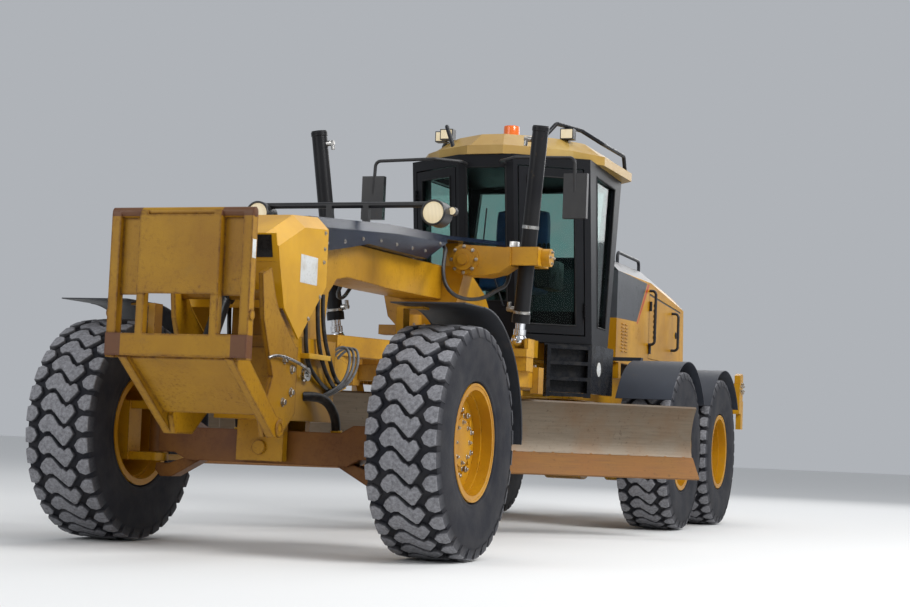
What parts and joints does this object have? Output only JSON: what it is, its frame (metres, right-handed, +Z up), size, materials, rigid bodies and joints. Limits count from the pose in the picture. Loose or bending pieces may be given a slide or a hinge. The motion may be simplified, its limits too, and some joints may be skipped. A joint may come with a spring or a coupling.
{
  "type": "motor grader",
  "caption": "Yellow six-wheeled motor grader with articulated frame, angled blade under a turning circle, enclosed cab and a front lift frame.",
  "frame": {"origin": "on the ground under the middle of the whole machine", "axes": "+Z up, the machine's front looks along -Y, +X is its left side"},
  "size_m": [3.4792, 9.425, 3.2798],
  "materials": {
    "tyre_rubber": "matt",
    "paint_yellow": "gloss",
    "paint_black": "satin",
    "paint_grey": "satin",
    "blade_steel": "worn",
    "edge_steel": "rusty",
    "cast_parts": "matt",
    "cylinder_black": "satin",
    "rod_chrome": "polished",
    "cab_glazing": "clear",
    "seat_fabric": "matt",
    "grille_dark": "matt",
    "lamp_housing": "matt",
    "mirror_housing": "matt",
    "exhaust_metal": "rusty"
  },
  "bodies": {
    "rear_body": {"rear_frame": "paint_yellow", "tandem_drive": "paint_yellow", "engine_block": "cast_parts", "engine_hood": "paint_yellow", "rear_grille": "grille_dark", "exhaust_stack": "exhaust_metal", "rear_fenders": "paint_grey"},
    "engine_door_left_body": {"engine_door_left": "paint_yellow"},
    "engine_door_right_body": {"engine_door_right": "paint_yellow"},
    "front_body": {"front_frame": "paint_yellow", "nose_cover": "paint_yellow", "hood_cover": "paint_black", "lift_saddle": "paint_yellow", "front_axle": "paint_yellow", "front_mount": "paint_yellow", "cab_frame": "paint_black", "cab_glass": "cab_glazing", "cab_roof": "paint_yellow", "steps_and_rails": "paint_black", "lamps": "lamp_housing", "operator_seat": "seat_fabric", "mirrors": "mirror_housing"},
    "cab_door_left_body": {"cab_door_left": "paint_black", "door_glass_left": "cab_glazing"},
    "cab_door_right_body": {"cab_door_right": "paint_black", "door_glass_right": "cab_glazing"},
    "knuckle_left_body": {"knuckle_left": "paint_yellow", "front_fender_left": "paint_grey"},
    "knuckle_right_body": {"knuckle_right": "paint_yellow", "front_fender_right": "paint_grey"},
    "tie_rod_body": {"tie_rod": "cylinder_black"},
    "drawbar_body": {"drawbar": "paint_yellow"},
    "lift_barrel_left_body": {"lift_barrel_left": "cylinder_black"},
    "lift_barrel_right_body": {"lift_barrel_right": "cylinder_black"},
    "lift_rod_left_body": {"lift_rod_left": "rod_chrome"},
    "lift_rod_right_body": {"lift_rod_right": "rod_chrome"},
    "circle_body": {"circle": "paint_yellow"},
    "carrier_body": {"blade_carrier": "paint_yellow", "shift_barrel": "cylinder_black"},
    "tip_barrel_body": {"tip_barrel": "cylinder_black"},
    "tip_rod_body": {"tip_rod": "rod_chrome"},
    "blade_body": {"moldboard": "blade_steel", "cutting_edge": "edge_steel", "shift_rod": "rod_chrome"},
    "lift_frame_body": {"lift_frame": "paint_yellow"},
    "front_lift_barrel_body": {"front_lift_barrel": "cylinder_black"},
    "front_lift_rod_body": {"front_lift_rod": "rod_chrome"},
    "wheel_front_left_body": {"rim_front_left": "paint_yellow", "tyre_front_left": "tyre_rubber"},
    "wheel_front_right_body": {"rim_front_right": "paint_yellow", "tyre_front_right": "tyre_rubber"},
    "wheel_mid_left_body": {"rim_mid_left": "paint_yellow", "tyre_mid_left": "tyre_rubber"},
    "wheel_mid_right_body": {"rim_mid_right": "paint_yellow", "tyre_mid_right": "tyre_rubber"},
    "wheel_rear_left_body": {"rim_rear_left": "paint_yellow", "tyre_rear_left": "tyre_rubber"},
    "wheel_rear_right_body": {"rim_rear_right": "paint_yellow", "tyre_rear_right": "tyre_rubber"}
  },
  "joints": [
    {"name": "articulation", "type": "hinge", "parent": "rear_body", "child": "front_body", "pos_m": [0, 1, 1.235], "axis": [0, 0, -1], "range_deg": [-20, 20]},
    {"name": "engine_door_left_hinge", "type": "hinge", "parent": "rear_body", "child": "engine_door_left_body", "pos_m": [0.622, 3.158, 1.85], "axis": [0, 0, -1], "range_deg": [0, 100]},
    {"name": "engine_door_right_hinge", "type": "hinge", "parent": "rear_body", "child": "engine_door_right_body", "pos_m": [-0.622, 3.158, 1.85], "axis": [0, 0, 1], "range_deg": [0, 100]},
    {"name": "mid_left_wheel_spin", "type": "hinge", "parent": "rear_body", "child": "wheel_mid_left_body", "pos_m": [1.05, 1.9115, 0.674], "axis": [1, 0, 0], "continuous": true},
    {"name": "rear_left_wheel_spin", "type": "hinge", "parent": "rear_body", "child": "wheel_rear_left_body", "pos_m": [1.05, 3.4345, 0.674], "axis": [1, 0, 0], "continuous": true},
    {"name": "mid_right_wheel_spin", "type": "hinge", "parent": "rear_body", "child": "wheel_mid_right_body", "pos_m": [-1.05, 1.9115, 0.674], "axis": [1, 0, 0], "continuous": true},
    {"name": "rear_right_wheel_spin", "type": "hinge", "parent": "rear_body", "child": "wheel_rear_right_body", "pos_m": [-1.05, 3.4345, 0.674], "axis": [1, 0, 0], "continuous": true},
    {"name": "cab_door_left_hinge", "type": "hinge", "parent": "front_body", "child": "cab_door_left_body", "pos_m": [0.72083, 0.65948, 1.49], "axis": [0, -0.149, 0.9888], "range_deg": [0, 110]},
    {"name": "cab_door_right_hinge", "type": "hinge", "parent": "front_body", "child": "cab_door_right_body", "pos_m": [-0.72083, 0.65948, 1.49], "axis": [0, 0.149, -0.9888], "range_deg": [0, 110]},
    {"name": "steer_left", "type": "hinge", "parent": "front_body", "child": "knuckle_left_body", "pos_m": [0.765, -3.45, 0.674], "axis": [0, 0, 1], "range_deg": [-47.5, 47.5]},
    {"name": "steer_right", "type": "hinge", "parent": "front_body", "child": "knuckle_right_body", "pos_m": [-0.765, -3.45, 0.674], "axis": [0, 0, 1], "range_deg": [-47.5, 47.5]},
    {"name": "tie_rod_swing", "type": "hinge", "parent": "knuckle_left_body", "child": "tie_rod_body", "pos_m": [0.765, -3.12, 0.551], "axis": [0, 0, 1], "range_deg": [-47.5, 47.5]},
    {"name": "front_left_wheel_spin", "type": "hinge", "parent": "knuckle_left_body", "child": "wheel_front_left_body", "pos_m": [1.075, -3.45, 0.674], "axis": [1, 0, 0], "continuous": true},
    {"name": "front_right_wheel_spin", "type": "hinge", "parent": "knuckle_right_body", "child": "wheel_front_right_body", "pos_m": [-1.075, -3.45, 0.674], "axis": [1, 0, 0], "continuous": true},
    {"name": "drawbar_lift", "type": "hinge", "parent": "front_body", "child": "drawbar_body", "pos_m": [0, -2.81, 1.06], "axis": [1, 0, 0], "range_deg": [-34, 0.7]},
    {"name": "lift_barrel_left_swing", "type": "hinge", "parent": "front_body", "child": "lift_barrel_left_body", "pos_m": [0.766, -1.058, 1.995], "axis": [1, 0, 0], "range_deg": [-7.67, 0.26]},
    {"name": "lift_rod_left_slide", "type": "slide", "parent": "lift_barrel_left_body", "child": "lift_rod_left_body", "axis": [-0.1019, 0.0985, -0.9899], "range_m": [-0.024, 1.07]},
    {"name": "lift_barrel_right_swing", "type": "hinge", "parent": "front_body", "child": "lift_barrel_right_body", "pos_m": [-0.766, -1.058, 1.995], "axis": [1, 0, 0], "range_deg": [-7.67, 0.26]},
    {"name": "lift_rod_right_slide", "type": "slide", "parent": "lift_barrel_right_body", "child": "lift_rod_right_body", "axis": [0.1019, 0.0985, -0.9899], "range_m": [-0.024, 1.07]},
    {"name": "circle_turn", "type": "hinge", "parent": "drawbar_body", "child": "circle_body", "pos_m": [0, -0.765, 1.135], "axis": [0, 0, 1], "range_deg": [-100, 15]},
    {"name": "blade_tip", "type": "hinge", "parent": "circle_body", "child": "carrier_body", "pos_m": [-0.13237, -0.59558, 0.65], "axis": [0.788, 0.6157, 0], "range_deg": [-5, 40]},
    {"name": "tip_barrel_swing", "type": "hinge", "parent": "circle_body", "child": "tip_barrel_body", "pos_m": [-0.27705, -0.4104, 0.985], "axis": [0.788, 0.6157, 0], "range_deg": [-1.54, 11.64]},
    {"name": "tip_rod_slide", "type": "slide", "parent": "tip_barrel_body", "child": "tip_rod_body", "axis": [0.6143, -0.7863, -0.0654], "range_m": [-0.0281, 0.2107]},
    {"name": "blade_shift", "type": "slide", "parent": "carrier_body", "child": "blade_body", "axis": [0.788, 0.6157, 0], "range_m": [-0.28, 0.89]},
    {"name": "front_lift", "type": "hinge", "parent": "front_body", "child": "lift_frame_body", "pos_m": [0, -4.1, 0.712], "axis": [1, 0, 0], "range_deg": [0, 14]},
    {"name": "front_lift_barrel_swing", "type": "hinge", "parent": "front_body", "child": "front_lift_barrel_body", "pos_m": [0, -4.15, 1.45], "axis": [1, 0, 0], "range_deg": [-0.771, 0.1]},
    {"name": "front_lift_rod_slide", "type": "slide", "parent": "front_lift_barrel_body", "child": "front_lift_rod_body", "axis": [0, -0.5145, -0.8575], "range_m": [0, 0.1057]}
  ],
  "couplings": [
    {"joint": "steer_right", "follows": "steer_left", "ratio": 1},
    {"joint": "tie_rod_swing", "follows": "steer_left", "ratio": -1},
    {"joint": "lift_barrel_left_swing", "follows": "drawbar_lift", "ratio": 0.2227},
    {"joint": "lift_rod_left_slide", "follows": "drawbar_lift", "m_per_rad": -1.8004},
    {"joint": "lift_barrel_right_swing", "follows": "drawbar_lift", "ratio": 0.2227},
    {"joint": "lift_rod_right_slide", "follows": "drawbar_lift", "m_per_rad": -1.8004},
    {"joint": "tip_barrel_swing", "follows": "blade_tip", "ratio": 0.2884},
    {"joint": "tip_rod_slide", "follows": "blade_tip", "m_per_rad": 0.299},
    {"joint": "front_lift_barrel_swing", "follows": "front_lift", "ratio": -0.0479},
    {"joint": "front_lift_rod_slide", "follows": "front_lift", "m_per_rad": 0.4286}
  ]
}
